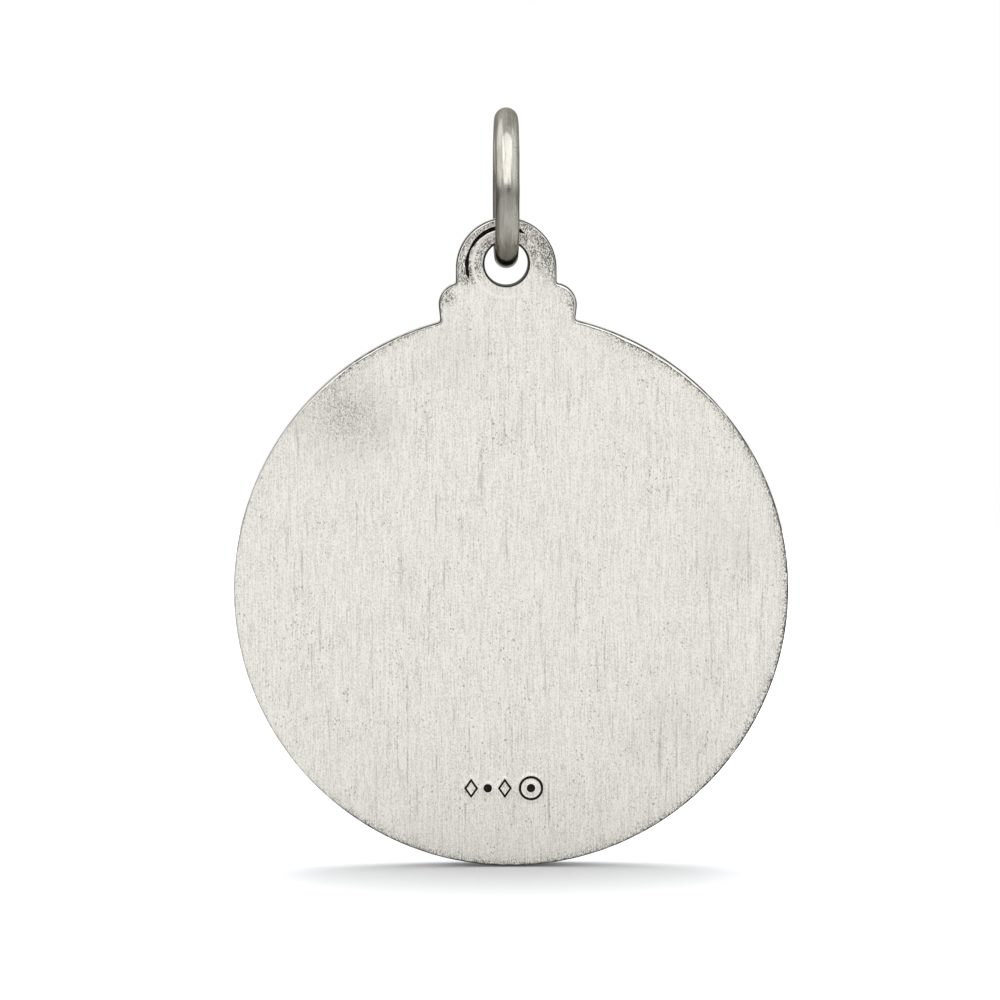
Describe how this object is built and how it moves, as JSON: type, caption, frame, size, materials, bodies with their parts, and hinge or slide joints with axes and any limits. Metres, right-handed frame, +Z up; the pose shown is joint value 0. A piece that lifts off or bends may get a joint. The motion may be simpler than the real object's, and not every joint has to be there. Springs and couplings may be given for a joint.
{
  "type": "religious medal pendant",
  "caption": "Round silver religious medal with a shouldered, pierced ear, hanging from a closed jump ring; plain brushed back, raised cross and rays on the front.",
  "frame": {"origin": "inside top of the jump ring, the point on which the whole pendant hangs from a chain", "axes": "+Z up, from the disc through the ear to the ring; the medal's flat back faces -Y and its front +Y; the ring stands square to the medal, in the Y and Z plane"},
  "size_m": [0.022, 0.0064, 0.0301],
  "materials": {
    "brushed_silver": "sterling silver, satin brushed along Z on the back, darkened in the recesses",
    "polished_silver": "sterling silver wire, polished, lightly worn"
  },
  "bodies": {
    "ring": {"jump_ring": "polished_silver"},
    "drop": {"medal": "brushed_silver"}
  },
  "joints": [
    {"name": "medal_swing", "type": "hinge", "parent": "ring", "child": "drop", "pos_m": [0, 0, -0.00492], "axis": [0, 1, 0], "range_deg": [-110, 110]}
  ]
}
